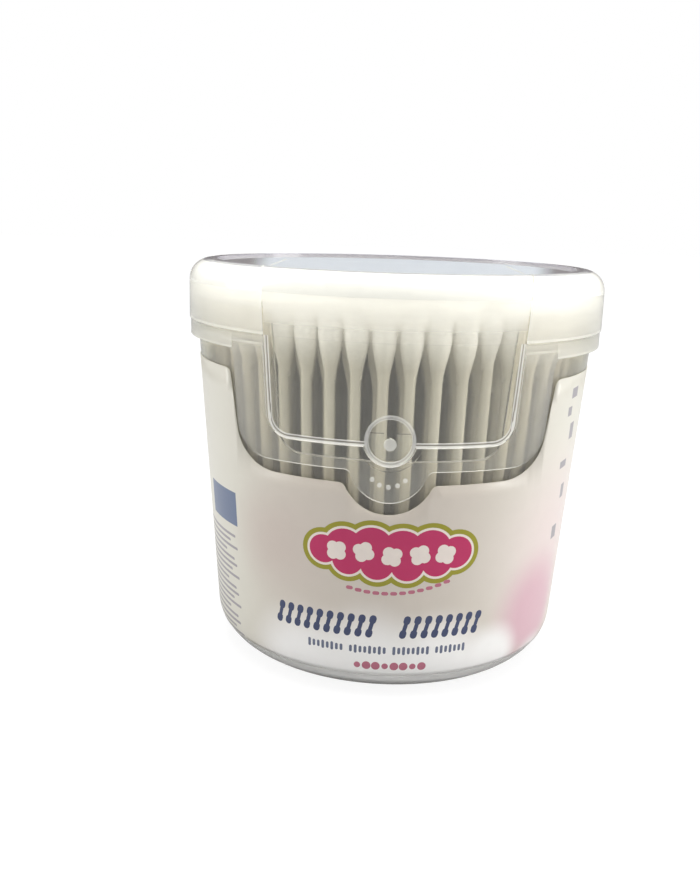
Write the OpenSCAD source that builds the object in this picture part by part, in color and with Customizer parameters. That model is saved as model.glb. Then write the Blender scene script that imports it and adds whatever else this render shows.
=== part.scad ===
// Cotton swab tub: a round tapered tub full of swabs, with a push-on cap whose front flap swings up.
// The origin is the centre of the foot ring on the ground, +Z is up and the flap faces -Y.

/* [Tub] */
// How far the rim stands above the tips of the swabs on the floor
rim_over = 1.05; // [0:0.05:3]
// Outer radius that the tapered wall would have at the ground
tub_base_r = 38.8; // [37:0.1:39]
// Taper of the tub wall, in degrees from upright
tub_taper = 4.16; // [3.5:0.01:4.3]
// Thickness of the tub wall and floor
tub_wall = 1.15; // [0.9:0.05:1.5]
// Radius of the rounded heel, outside
heel_r = 9.4; // [7:0.1:11]
// Height of the floor's underside above the ground
foot_recess = 2.3; // [1.5:0.1:3]
// Width of the foot ring
foot_w = 1.6; // [1.2:0.1:2.5]

/* [Reach-in notch] */
// Half width of the notch at its bottom edge
notch_w = 21.3; // [18:0.1:22]
// How far the notch's bottom edge lies below the rim
notch_drop = 27.9; // [26.5:0.1:30]
// Radius of the notch's lower corners
notch_corner = 4.5; // [2:0.1:6]
// Lean of the notch's side edges, in degrees
notch_lean = 4; // [2:1:5]
// Radius of the notch's upper corners at the rim
notch_fillet = 1.5; // [1:0.1:3]

/* [Cap] */
// Gap between the tub's rim and the skirt's inner wall
skirt_gap = 0.27; // [0.2:0.01:0.4]
// Room between the tallest swab and the cap's top plate
tip_room = 0.77; // [0.3:0.01:3]
// Wall thickness of the cap and flap
cap_wall = 0.9; // [0.8:0.05:1]
// Thickness of the cap's top plate
top_t = 1.2; // [1:0.05:1.5]
// Radius of the cap's rounded shoulder
shoulder_r = 4.5; // [2:0.1:5]
// Width of the raised rim round the shallow recess in the top
top_rim_w = 6; // [5:0.5:10]
// Depth of the recess in the top
recess_t = 0.5; // [0.3:0.1:0.7]
// How far the skirt hangs below the tub's rim
skirt_drop = 8.5; // [7:0.1:10]
// Height of the stepped-in band at the skirt's lower edge
band_h = 3.5; // [2.5:0.1:4.5]
// How far the band and the apron step in from the cap's outer radius
band_step = 0.25; // [0.15:0.05:0.3]
// Width of the seat rib that rests on the rim
seat_w = 1.5; // [1.2:0.1:2]
// Height of the seat rib
seat_h = 1; // [0.8:0.1:1.5]
// Radius of the round snap bead inside the skirt
snap_r = 0.5; // [0.3:0.05:0.6]
// How far the snap bead stands in from the skirt's inner wall
snap_in = 0.12; // [0.08:0.01:0.15]

/* [Apron] */
// Half width of the apron at its lower edge
apron_w = 29.8; // [28:0.1:30]
// How far the apron's lower edge lies below the rim
apron_drop = 29.1; // [27.5:0.1:30]
// Lean of the apron's side edges, in degrees
apron_lean = 5; // [3:1:6]
// Radius of the apron's lower corners
apron_corner = 7; // [5:0.1:9]
// Radius of the press lobe
lobe_r = 7.5; // [6.8:0.1:8.5]
// How far the press lobe's centre lies below the rim
lobe_drop = 27.8; // [26.5:0.1:28.5]
// Radius of the small fillets beside the lobe and under the skirt
apron_fillet = 1.6; // [0.8:0.1:2]

/* [Flap] */
// Half width of the flap at its lower edge
flap_w = 23.4; // [22:0.1:24]
// How far the flap's lower edge lies below the rim
flap_drop = 24.2; // [23:0.1:25]
// Lean of the flap's side edges, in degrees
flap_lean = 4; // [2:1:5]
// Radius of the flap's lower corners
flap_corner = 4.2; // [3:0.1:6]
// Gap between the flap and the window's edge
flap_gap = 0.3; // [0.2:0.05:0.4]
// Width of the raised bead along the flap's edge
bead_w = 0.8; // [0.4:0.05:0.9]
// How far the hinge line lies behind the middle of the top
hinge_y = 8; // [0:0.5:14]
// Gap between flap and cap along the hinge line
hinge_gap = 0.3; // [0.2:0.05:0.4]

/* [Snap tab] */
// Radius of the round snap tab
tab_r = 4.85; // [4.6:0.05:5.6]
// How far the tab's centre lies below the rim
tab_drop = 23.1; // [22.8:0.1:24]
// Width of the tab's raised rim
tab_rim_w = 0.75; // [0.4:0.05:0.8]
// Radius of the stud in the tab's middle
stud_r = 1.2; // [0.9:0.05:1.4]
// How far the stud's centre lies below the rim
stud_drop = 23.8; // [23.4:0.1:24.4]
// Radius of the peg behind the stud
peg_r = 0.9; // [0.7:0.05:1.1]
// Clearance between the peg and its slot
peg_gap = 0.3; // [0.2:0.05:0.4]
// Width of the pad's ring that laps behind the window's edge
pad_lap = 1.1; // [0.8:0.1:1.3]
// Gap between the tab and the pad behind it
pad_gap = 0.25; // [0.2:0.05:0.3]
// How far the pad stands up behind the flap's lower edge
pad_over = 2.2; // [1.6:0.1:2.6]
// Number of small grip pips on the press lobe
pip_count = 5; // [3:1:7]
// Radius of one grip pip
pip_r = 0.45; // [0.3:0.05:0.5]
// Radius of the arc that the pips lie on, about the lobe's centre
pip_arc = 4.2; // [3.8:0.1:4.6]
// Angle between neighbouring pips, in degrees
pip_step = 24; // [18:1:26]

/* [Label] */
// Thickness of the label film
label_t = 0.12; // [0.08:0.01:0.2]
// Layer of glue between tub and label
glue_t = 0.02; // [0.01:0.01:0.04]
// Height of the label's lower edge
label_z0 = 5.4; // [4.5:0.1:8]
// How far the label's upper edge lies below the rim
label_drop = 13.2; // [10.5:0.1:16]
// Half width of the front cut-out at its lower edge
cut_w = 30.3; // [29.5:0.1:31]
// How far the cut-out's lower edge lies below the rim
cut_drop = 32.7; // [31.5:0.1:34]
// Lean of the cut-out's side edges, in degrees
cut_lean = 7; // [5:1:8]
// Radius of the cut-out's lower corners
cut_corner = 8.5; // [6:0.1:10]
// Radius of the cut-out's lobe
cut_lobe_r = 9.3; // [9:0.1:10]
// How far the centre of the cut-out's lobe lies below the rim
cut_lobe_drop = 29.5; // [28.5:0.1:30]
// Radius of the small fillets beside the cut-out's lobe and at its upper corners
cut_fillet = 1.5; // [0.8:0.1:2]
// Width of the open seam at the back
seam_w = 0.8; // [0.4:0.1:1.5]

/* [Swabs] */
// Length of one swab
swab_len = 75; // [72:0.5:76]
// Diameter of the stick
stick_d = 2.1; // [1.8:0.05:2.4]
// Diameter of the upper cotton bud
bud_top_d = 4.9; // [4.4:0.05:5.1]
// Diameter of the lower cotton bud, pressed slimmer in the narrow end of the tub
bud_low_d = 4.6; // [4.2:0.05:4.8]
// Length of a cotton bud
bud_len = 14; // [12:0.5:16]
// Distance from the bud's tip to the end of its plain taper
bud_taper_len = 11.5; // [10:0.5:11.5]
// Radius of the cotton at the end of the plain taper
bud_neck_r = 1.4; // [1.3:0.05:1.6]
// Thickness of the cotton at its feathered end on the stick
feather_t = 0.12; // [0.08:0.01:0.2]
// Cotton beyond the end of the stick
tip_cover = 2.4; // [1.8:0.1:3]
// Clearance between stick and cotton
wound_gap = 0.02; // [0.01:0.01:0.05]
// Room between neighbouring buds at the foot
swab_gap = 0.08; // [0.06:0.01:0.2]
// Height above the floor at which the outer ring's buds meet the heel's inside round
heel_seat = 5.6; // [4.5:0.1:6.5]
// Room between the outer ring of swabs and the tub wall, at the foot
foot_room = 0.3; // [0.2:0.05:0.6]
// Room between the outer ring of swabs and the tub wall, at the head
head_room = 1.2; // [0.9:0.1:2]
// How far the outer ring is turned round the tub, in degrees
ring_turn = 1.2; // [-3.5:0.1:3.5]
// How much the swabs' heights differ
height_spread = 0.6; // [0:0.1:0.8]
// How far the swabs lean out of line, in degrees
sway = 0.1; // [0:0.05:0.15]
// How much one swab of the outer ring stands proud of the others
proud_by = 2.2; // [0:0.1:2.5]
// Which swab of the outer ring stands proud
proud_index = 3; // [0:1:40]
// Number that picks the swabs' small differences
swab_seed = 11; // [1:1:99]

/* [Hidden] */
$fn = 96;

// How far a cutting shape runs past what it cuts
over = 1;

// Outer radius of the tub's tapered wall at height z
function wall_r(z) = tub_base_r + z * tan(tub_taper);

// Centre of the heel's round, which runs tangent into the ground plane and the wall
heel_cx = wall_r(heel_r) - heel_r / cos(tub_taper);

// The tub's floor and its inside, and the rim that stands over the swabs
floor_z = foot_recess + tub_wall;
in_heel_r = heel_r - tub_wall;
in_heel_z = floor_z + in_heel_r;
function inside_r(z) = wall_r(z) - tub_wall / cos(tub_taper);
in_heel_cx = inside_r(in_heel_z) - in_heel_r / cos(tub_taper);
tub_h = floor_z + swab_len + rim_over;

// Swab rings: ring 1 stands on the heel's round by the wall, the others on the flat floor
low_r = bud_low_d / 2;
top_r = bud_top_d / 2;
outer_low_r = in_heel_cx + sqrt(pow(in_heel_r, 2) - pow(in_heel_r - heel_seat, 2)) - low_r - foot_room;
outer_top_r = inside_r(tub_h) - top_r - head_room;
outer_z = in_heel_z - sqrt(pow(in_heel_r - low_r, 2) - pow(outer_low_r - in_heel_cx, 2)) - low_r + foot_room;
lean_1 = atan((outer_top_r - outer_low_r) / swab_len);
pitch = max(bud_low_d, bud_top_d * outer_low_r / outer_top_r) + swab_gap;
last_ring = floor(outer_low_r / pitch) + 1;
core_ring = 6;

// The cap clears the rim at its side and the tallest swab at its top
inner_r = wall_r(tub_h) + skirt_gap;
band_r = inner_r + cap_wall;
cap_r = band_r + band_step;
in_shoulder_r = shoulder_r - cap_wall;
in_top = outer_z + height_spread + proud_by + swab_len + tip_room;
cap_top = in_top + top_t + recess_t;
recess_r = cap_r - top_rim_w;
skirt_z = tub_h - skirt_drop;
band_top = skirt_z + band_h;

// Heights of what hangs at the front, all measured from the rim
notch_z = tub_h - notch_drop;
apron_z = tub_h - apron_drop;
lobe_z = tub_h - lobe_drop;
flap_z = tub_h - flap_drop;
tab_z = tub_h - tab_drop;
stud_z = tub_h - stud_drop;
label_z1 = tub_h - label_drop;
cut_z = tub_h - cut_drop;
cut_lobe_z = tub_h - cut_lobe_drop;
lobe_bottom = lobe_z - lobe_r;

// Pad behind the round tab
pad_r = tab_r + flap_gap + pad_lap;
pad_out = inner_r - pad_gap;
pad_top = flap_z + pad_over;

// Half of the space that every cutting shape spans
reach = 1.25 * cap_r;

// Filled section of the tub's outside, grown by g
module tub_body(g = 0) {
    a = tub_taper;
    tangent_x = heel_cx + (heel_r + g) * cos(a);
    tangent_z = heel_r - (heel_r + g) * sin(a);
    polygon([
        [0, 0], [heel_cx, 0], [tangent_x, tangent_z],
        [wall_r(tub_h) + g / cos(a), tub_h], [0, tub_h]
    ]);
    translate([heel_cx, heel_r]) circle(heel_r + g);
}

// Filled section of the space inside the tub
module tub_space() {
    a = tub_taper;
    polygon([
        [0, floor_z], [in_heel_cx, floor_z],
        [in_heel_cx + in_heel_r * cos(a), in_heel_z - in_heel_r * sin(a)],
        [inside_r(tub_h + over), tub_h + over], [0, tub_h + over]
    ]);
    translate([in_heel_cx, in_heel_z]) circle(in_heel_r);
}

// U-shaped outline in the front view: w is the half width at the lower edge z0, and the sides lean out
module u_outline(w, z0, corner, lean, z1) {
    cz = z0 + corner;
    cx = w + corner * tan(lean) - corner / cos(lean);
    top_w = w + (z1 - z0) * tan(lean);
    for (side = [-1, 1]) translate([side * cx, cz]) circle(corner);
    polygon([
        [-cx, z0], [cx, z0],
        [cx + corner * cos(lean), cz - corner * sin(lean)], [top_w, z1],
        [-top_w, z1], [-cx - corner * cos(lean), cz - corner * sin(lean)]
    ]);
}

// Round lobe under a straight lower edge at height z, run into it by small fillets
module lobe_outline(r, cz, z, fillet) {
    fz = z - fillet;
    fx = sqrt(pow(r + fillet, 2) - pow(cz - fz, 2));
    translate([0, cz]) circle(r);
    difference() {
        polygon([[-fx, z + over], [-fx, fz], [0, cz], [fx, fz], [fx, z + over]]);
        for (side = [-1, 1]) translate([side * fx, fz]) circle(fillet);
    }
}

// Small fillets that run a U outline's sides out into a straight upper edge at height z
module shoulder_fillets(w, fillet, z) {
    for (side = [-1, 1]) difference() {
        translate([side * (w + (fillet - over) / 2), z - (fillet - over) / 2])
            square(fillet + over, center = true);
        translate([side * (w + fillet), z - fillet]) circle(fillet);
    }
}

// Extrudes a front-view outline along Y, from y to the front
module toward_front(y = 0) {
    translate([0, y, 0]) rotate([90, 0, 0]) linear_extrude(y + reach) children();
}

// Ring between two radii, from z0 to z1
module ring(r0, r1, z0, z1) {
    rotate_extrude() translate([r0, z0]) square([r1 - r0, z1 - z0]);
}

module tub() {
    color([0.86, 0.87, 0.85, 0.6]) difference() {
        rotate_extrude() difference() {
            intersection() {
                tub_body();
                square([reach, tub_h]);
            }
            tub_space();
            square([heel_cx - foot_w, foot_recess]);
        }
        toward_front() {
            u_outline(notch_w, notch_z, notch_corner, notch_lean, tub_h + over);
            shoulder_fillets(notch_w + notch_drop * tan(notch_lean), notch_fillet, tub_h);
        }
    }
}

module label() {
    color([0.9, 0.87, 0.86]) difference() {
        rotate_extrude() intersection() {
            difference() {
                tub_body(glue_t + label_t);
                tub_body(glue_t);
            }
            translate([heel_cx, label_z0]) square([reach, label_z1 - label_z0]);
        }
        toward_front() {
            u_outline(cut_w, cut_z, cut_corner, cut_lean, label_z1 + over);
            lobe_outline(cut_lobe_r, cut_lobe_z, cut_z, cut_fillet);
            shoulder_fillets(cut_w + (label_z1 - cut_z) * tan(cut_lean), cut_fillet, label_z1);
        }
        translate([-seam_w / 2, 0, 0]) cube([seam_w, reach, tub_h]);
    }
}

// Filled section of the cap's outside down to height z
module cap_outside(z) {
    translate([0, z]) square([band_r, cap_top - shoulder_r - z]);
    translate([0, band_top]) square([cap_r, cap_top - shoulder_r - band_top]);
    translate([0, band_top]) square([cap_r - shoulder_r, cap_top - band_top]);
    translate([cap_r - shoulder_r, cap_top - shoulder_r]) circle(shoulder_r);
}

// Filled section of the space inside the cap
module cap_space(z) {
    translate([0, z - over]) square([inner_r, in_top - in_shoulder_r - z + over]);
    translate([0, z - over]) square([inner_r - in_shoulder_r, in_top - z + over]);
    translate([inner_r - in_shoulder_r, in_top - in_shoulder_r]) circle(in_shoulder_r);
}

// Section of the cap's shell, shared by cap and flap, down to height z
module shell_section(z) {
    difference() {
        cap_outside(z);
        cap_space(z);
        translate([0, cap_top - recess_t]) square([recess_r, recess_t + over]);
    }
}

// Section of the cap by itself: the shell with its seat rib and its snap bead
module cap_section(z) {
    shell_section(z);
    translate([inner_r - seat_w, tub_h]) square([seat_w + cap_wall / 2, seat_h]);
    intersection() {
        translate([inner_r - snap_in + snap_r, skirt_z + band_h / 2]) circle(snap_r);
        translate([0, skirt_z]) square([inner_r + cap_wall / 2, band_h]);
    }
}

// Outline of the flap, grown by g: the door and its round snap tab
module flap_outline(g = 0) {
    u_outline(flap_w + g, flap_z - g, flap_corner + g, flap_lean, cap_top + over);
    translate([0, tab_z]) circle(tab_r + g);
}

module apron_outline() {
    u_outline(apron_w, apron_z, apron_corner, apron_lean, band_top);
    lobe_outline(lobe_r, lobe_z, apron_z, apron_fillet);
    shoulder_fillets(apron_w + (skirt_z - apron_z) * tan(apron_lean), apron_fillet, skirt_z);
}

// Pad behind the round tab: it laps behind the window's edge, is as wide as the tab's inside over that edge,
// and takes the peg in an open slot
module tab_pad() {
    difference() {
        intersection() {
            ring(pad_out - cap_wall, inner_r + cap_wall / 2, lobe_bottom, pad_top);
            toward_front() translate([0, tab_z]) {
                circle(tab_r - tab_rim_w);
                intersection() {
                    circle(pad_r);
                    translate([-pad_r, lobe_bottom - tab_z]) square([2 * pad_r, flap_z - lobe_bottom]);
                }
            }
        }
        intersection() {
            ring(pad_out, reach, lobe_bottom, cap_top);
            toward_front() flap_outline(flap_gap);
        }
        toward_front() {
            translate([0, stud_z]) circle(peg_r + peg_gap);
            translate([-peg_r - peg_gap, stud_z]) square([2 * (peg_r + peg_gap), pad_top]);
        }
    }
}

// Row of small round pips on an arc of the press lobe
module lobe_pips() {
    for (i = [0:pip_count - 1]) {
        a = (i - (pip_count - 1) / 2) * pip_step;
        intersection() {
            ring(band_r - cap_wall / 2, cap_r, lobe_bottom, cap_top);
            translate([pip_arc * sin(a), 0, lobe_z - pip_arc * cos(a)])
                rotate([90, 0, 0]) cylinder(r = pip_r, h = reach);
        }
    }
}

// What the cap keeps of its turned form: all above the skirt's edge, and the apron at the front
module cap_limits() {
    translate([-reach, -reach, skirt_z]) cube([2 * reach, 2 * reach, cap_top]);
    toward_front() apron_outline();
}

module cap() {
    color([0.93, 0.94, 0.92, 0.55]) {
        difference() {
            intersection() {
                rotate_extrude() cap_section(lobe_bottom - over);
                cap_limits();
            }
            toward_front(hinge_y) flap_outline(flap_gap);
        }
        tab_pad();
        lobe_pips();
    }
}

// Raised bead along the flap's edge, below the step
module flap_bead() {
    intersection() {
        ring(band_r - cap_wall / 2, cap_r, lobe_bottom, band_top);
        toward_front() difference() {
            flap_outline();
            u_outline(flap_w - bead_w, flap_z + bead_w, flap_corner - bead_w, flap_lean, reach + cap_top);
            translate([0, tab_z]) circle(tab_r - tab_rim_w);
        }
    }
}

module snap_tab() {
    intersection() {
        ring(band_r - cap_wall / 2, cap_r, lobe_bottom, band_top);
        toward_front() difference() {
            translate([0, tab_z]) circle(tab_r);
            translate([0, tab_z]) circle(tab_r - tab_rim_w);
        }
    }
    intersection() {
        ring(pad_out - cap_wall, cap_r, lobe_bottom, band_top);
        translate([0, 0, stud_z]) rotate([90, 0, 0]) cylinder(r = peg_r, h = reach);
    }
    intersection() {
        ring(band_r - cap_wall / 2, cap_r, lobe_bottom, band_top);
        translate([0, 0, stud_z]) rotate([90, 0, 0]) cylinder(r = stud_r, h = reach);
    }
}

module flap() {
    color([0.95, 0.96, 0.94, 0.5]) {
        intersection() {
            rotate_extrude() shell_section(tab_z - tab_r - over);
            toward_front(hinge_y - hinge_gap) flap_outline();
        }
        flap_bead();
        snap_tab();
    }
}

bore_r = stick_d / 2 + wound_gap;

function ring_r(k) = outer_low_r - (k - 1) * pitch;
function ring_count(k) = ring_r(k) <= pitch / 2 ? 1 : floor(180 / asin(pitch / (2 * ring_r(k))));
function ring_z(k) = k == 1 ? outer_z : floor_z + wound_gap;

// Places one thing at each swab of ring k, standing on its foot and leaning outward as the tub widens
module each_swab(k) {
    n = ring_count(k);
    r = n == 1 ? 0 : ring_r(k);
    lean = atan(tan(lean_1) * r / outer_low_r);
    turn = k == 1 ? ring_turn : 0;
    lifts = rands(0, height_spread, n, swab_seed + k);
    sways = rands(-sway, sway, n, swab_seed + last_ring + k);
    for (i = [0:n - 1]) {
        lift = lifts[i] + (k == 1 && i == proud_index ? proud_by : 0);
        rotate([0, 0, (i + 0.5) * 360 / n - 90 + turn]) translate([r, 0, ring_z(k) + lift])
            rotate([sways[i], lean, 0]) children();
    }
}

// Cotton bud with its tip at the origin, pointing down: round tip, plain taper, feathered end on the stick
module bud(r) {
    taper_z = bud_taper_len - r;
    a = atan2(taper_z, bud_neck_r) - acos(r / norm([taper_z, bud_neck_r]));
    rotate_extrude($fn = 48) difference() {
        intersection() {
            union() {
                translate([0, r]) circle(r);
                polygon([
                    [0, r], [r * cos(a), r + r * sin(a)], [bud_neck_r, bud_taper_len],
                    [bore_r + feather_t, bud_len], [0, bud_len]
                ]);
            }
            square([r + over, bud_len]);
        }
        translate([-over, tip_cover - wound_gap]) square([over + bore_r, bud_len]);
    }
}

module swab_sticks(k) {
    color([0.93, 0.93, 0.9]) each_swab(k)
        translate([0, 0, tip_cover]) cylinder(d = stick_d, h = swab_len - 2 * tip_cover, $fn = 32);
}

module cotton_buds(k) {
    color([0.97, 0.97, 0.95]) each_swab(k) {
        bud(low_r);
        translate([0, 0, swab_len]) mirror([0, 0, 1]) bud(top_r);
    }
}

tub();
label();
cap();
flap();
for (k = [1:core_ring - 1]) {
    swab_sticks(k);
    cotton_buds(k);
}
for (k = [core_ring:last_ring]) swab_sticks(k);  // swab_sticks_core
for (k = [core_ring:last_ring]) cotton_buds(k);  // cotton_buds_core
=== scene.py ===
import math
import random

import bmesh
import bpy
from mathutils import Matrix, Vector, geometry


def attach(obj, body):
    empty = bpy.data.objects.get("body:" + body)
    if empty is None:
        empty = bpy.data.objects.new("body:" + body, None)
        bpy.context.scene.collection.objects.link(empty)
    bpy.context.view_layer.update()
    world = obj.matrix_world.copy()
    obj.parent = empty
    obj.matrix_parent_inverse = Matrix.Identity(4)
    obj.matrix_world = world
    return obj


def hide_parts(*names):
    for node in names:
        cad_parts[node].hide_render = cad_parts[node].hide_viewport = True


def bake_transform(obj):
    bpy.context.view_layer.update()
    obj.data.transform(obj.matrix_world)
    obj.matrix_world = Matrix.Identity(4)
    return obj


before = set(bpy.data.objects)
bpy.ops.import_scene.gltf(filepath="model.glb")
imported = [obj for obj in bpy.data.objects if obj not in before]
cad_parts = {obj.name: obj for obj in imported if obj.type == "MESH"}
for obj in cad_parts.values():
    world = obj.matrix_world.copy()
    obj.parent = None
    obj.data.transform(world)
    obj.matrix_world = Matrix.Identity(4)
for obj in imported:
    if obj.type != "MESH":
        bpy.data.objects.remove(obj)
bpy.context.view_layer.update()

# The camera stands a forearm's length in front of the tub, a little above its rim, and looks slightly down.
# Its place and angles come from the tub's own ellipses and edges in the photograph.
MM = 0.001
photo_h = 869
focal_px = 945.3
sensor_mm = 36
camera_at = Vector((-1.2437, -216.8774, 96.8083)) * MM
camera_yaw = -0.0367
camera_pitch = 0.2265
camera_roll = 0.0313

look = Vector((math.sin(camera_yaw) * math.cos(camera_pitch),
               math.cos(camera_yaw) * math.cos(camera_pitch),
               -math.sin(camera_pitch)))
level = Vector((math.cos(camera_yaw), -math.sin(camera_yaw), 0))
upward = level.cross(look)
right = math.cos(camera_roll) * level + math.sin(camera_roll) * upward
up = math.cos(camera_roll) * upward - math.sin(camera_roll) * level
lens = bpy.data.cameras.new("camera")
lens.sensor_fit = "VERTICAL"
lens.sensor_height = sensor_mm
lens.lens = focal_px / photo_h * sensor_mm
lens.clip_start = 0.01
camera = bpy.data.objects.new("camera", lens)
camera.matrix_world = Matrix((
    (right.x, up.x, -look.x, camera_at.x),
    (right.y, up.y, -look.y, camera_at.y),
    (right.z, up.z, -look.z, camera_at.z),
    (0, 0, 0, 1)))
bpy.context.scene.collection.objects.link(camera)
bpy.context.scene.camera = camera
bpy.context.scene.view_settings.view_transform = "Standard"

# The floor is a pale sheet that the tub stands on. The camera and rays that pass through the plastic see it
# nearly plain white with a weak shadow. Light that bounces off it has the sheet's own colour.
floor_size = 6.0
floor_colour = (0.55, 0.55, 0.55, 1)
seen_colour = (0.17, 0.17, 0.17, 1)
floor_lift = 0.88

floor_mesh = bpy.data.meshes.new("floor")
half = floor_size / 2
floor_corners = [(-half, -half, 0), (half, -half, 0), (half, half, 0), (-half, half, 0)]
floor_mesh.from_pydata(floor_corners, [], [(0, 1, 2, 3)])
floor = bpy.data.objects.new("floor", floor_mesh)
bpy.context.scene.collection.objects.link(floor)
floor_sheet = bpy.data.materials.new("floor_sheet")
floor_sheet.use_nodes = True
nodes, links = floor_sheet.node_tree.nodes, floor_sheet.node_tree.links
nodes.clear()
out = nodes.new("ShaderNodeOutputMaterial")
plain = nodes.new("ShaderNodeBsdfDiffuse")
plain.inputs["Color"].default_value = floor_colour
pale = nodes.new("ShaderNodeBsdfDiffuse")
pale.inputs["Color"].default_value = seen_colour
lift = nodes.new("ShaderNodeEmission")
lift.inputs["Strength"].default_value = floor_lift
both = nodes.new("ShaderNodeAddShader")
seen = nodes.new("ShaderNodeLightPath")
either = nodes.new("ShaderNodeMath")
either.operation = "MAXIMUM"
pick = nodes.new("ShaderNodeMixShader")
links.new(pale.outputs[0], both.inputs[0])
links.new(lift.outputs[0], both.inputs[1])
links.new(seen.outputs["Is Camera Ray"], either.inputs[0])
links.new(seen.outputs["Is Transmission Ray"], either.inputs[1])
links.new(either.outputs[0], pick.inputs["Fac"])
links.new(plain.outputs[0], pick.inputs[1])
links.new(both.outputs[0], pick.inputs[2])
links.new(pick.outputs[0], out.inputs["Surface"])
floor_mesh.materials.append(floor_sheet)

# The studio is white for the camera and for rays that pass through the plastic. What lights the tub is
# brighter at the back and at the right. The glossy top mirrors a cooler band low down, with a dark patch at
# either end.
front_level = 0.56
back_level = 0.88
right_gain = 0.35
band_low = 0.02
band_high = 0.30
band_colour = (0.73, 0.79, 0.87, 1)
patch_colour = (0.13, 0.11, 0.13, 1)
patch_shift = 0.012
patch_from = 0.132
patch_full = 0.16

world = bpy.data.worlds.new("studio")
bpy.context.scene.world = world
world.use_nodes = True
nodes, links = world.node_tree.nodes, world.node_tree.links
nodes.clear()
out = nodes.new("ShaderNodeOutputWorld")
white = nodes.new("ShaderNodeBackground")
white.inputs["Color"].default_value = (1, 1, 1, 1)
room = nodes.new("ShaderNodeBackground")
place = nodes.new("ShaderNodeTexCoord")
axes = nodes.new("ShaderNodeSeparateXYZ")
depth = nodes.new("ShaderNodeMapRange")
depth.inputs["From Min"].default_value = -1
depth.inputs["To Min"].default_value = front_level
depth.inputs["To Max"].default_value = back_level
side = nodes.new("ShaderNodeMapRange")
side.inputs["To Max"].default_value = right_gain
total = nodes.new("ShaderNodeMath")
band = nodes.new("ShaderNodeMapRange")
band.interpolation_type = "SMOOTHSTEP"
band.inputs["From Min"].default_value = band_high
band.inputs["From Max"].default_value = band_low
shifted = nodes.new("ShaderNodeMath")
shifted.operation = "SUBTRACT"
shifted.inputs[1].default_value = patch_shift
aside = nodes.new("ShaderNodeMath")
aside.operation = "ABSOLUTE"
patch = nodes.new("ShaderNodeMapRange")
patch.interpolation_type = "SMOOTHSTEP"
patch.inputs["From Min"].default_value = patch_from
patch.inputs["From Max"].default_value = patch_full
patches = nodes.new("ShaderNodeMix")
patches.data_type = "RGBA"
patches.inputs["A"].default_value = band_colour
patches.inputs["B"].default_value = patch_colour
tint = nodes.new("ShaderNodeMix")
tint.data_type = "RGBA"
tint.inputs["A"].default_value = (1, 1, 1, 1)
path = nodes.new("ShaderNodeLightPath")
only_mirror = nodes.new("ShaderNodeMath")
only_mirror.operation = "MULTIPLY"
either = nodes.new("ShaderNodeMath")
either.operation = "MAXIMUM"
pick = nodes.new("ShaderNodeMixShader")
links.new(place.outputs["Generated"], axes.inputs[0])
links.new(axes.outputs["Y"], depth.inputs["Value"])
links.new(axes.outputs["X"], side.inputs["Value"])
links.new(depth.outputs[0], total.inputs[0])
links.new(side.outputs[0], total.inputs[1])
links.new(total.outputs[0], room.inputs["Strength"])
links.new(axes.outputs["Z"], band.inputs["Value"])
links.new(band.outputs[0], only_mirror.inputs[0])
links.new(path.outputs["Is Glossy Ray"], only_mirror.inputs[1])
links.new(only_mirror.outputs[0], tint.inputs["Factor"])
links.new(axes.outputs["X"], shifted.inputs[0])
links.new(shifted.outputs[0], aside.inputs[0])
links.new(aside.outputs[0], patch.inputs["Value"])
links.new(patch.outputs[0], patches.inputs["Factor"])
links.new(patches.outputs["Result"], tint.inputs["B"])
links.new(tint.outputs["Result"], room.inputs["Color"])
links.new(path.outputs["Is Camera Ray"], either.inputs[0])
links.new(path.outputs["Is Transmission Ray"], either.inputs[1])
links.new(either.outputs[0], pick.inputs["Fac"])
links.new(room.outputs[0], pick.inputs[1])
links.new(white.outputs[0], pick.inputs[2])
links.new(pick.outputs[0], out.inputs["Surface"])

# Three soft lamps light the tub: a broad one overhead, for the cap's shoulder and the swabs' tips, and one
# at each side. All of them point at the tub's middle.
tub_middle = Vector((0, 0, 45)) * MM
for name, at, wide, long, watts in (
        ("lamp_above", (0.0, 0.0, 0.55), 0.45, 0.45, 1.9),
        ("lamp_left", (-0.55, -0.05, 0.25), 0.25, 0.4, 1.3),
        ("lamp_right", (0.55, -0.05, 0.25), 0.25, 0.4, 1.9)):
    light = bpy.data.lights.new(name, "AREA")
    light.shape = "RECTANGLE"
    light.size = wide
    light.size_y = long
    light.energy = watts
    lamp = bpy.data.objects.new(name, light)
    lamp.location = at
    lamp.rotation_euler = (tub_middle - Vector(at)).to_track_quat("-Z", "Y").to_euler()
    bpy.context.scene.collection.objects.link(lamp)

# The tub is one thin-walled moulding of clear polypropylene, slightly milky, with a rounded heel and a foot
# ring. It is a CAD node as it stands. Light passes straight on to what it holds, and the eye sees it bend.
tub_colour = (0.92, 0.885, 0.80)
tub_clear = 0.965
tub_shade = 0.92
tub_aslant = (0.44, 0.43, 0.28)
edge_clear = 0.55
heel_colour = (0.97, 0.965, 0.95)
heel_clear = 0.6
heel_high = 6.5
cut_above = 50.0
cut_facing = 0.4
plastic_ior = 1.49
aslant_from = 0.38
aslant_full = 0.85
shade_warmth = (1, 0.995, 0.98)

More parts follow.
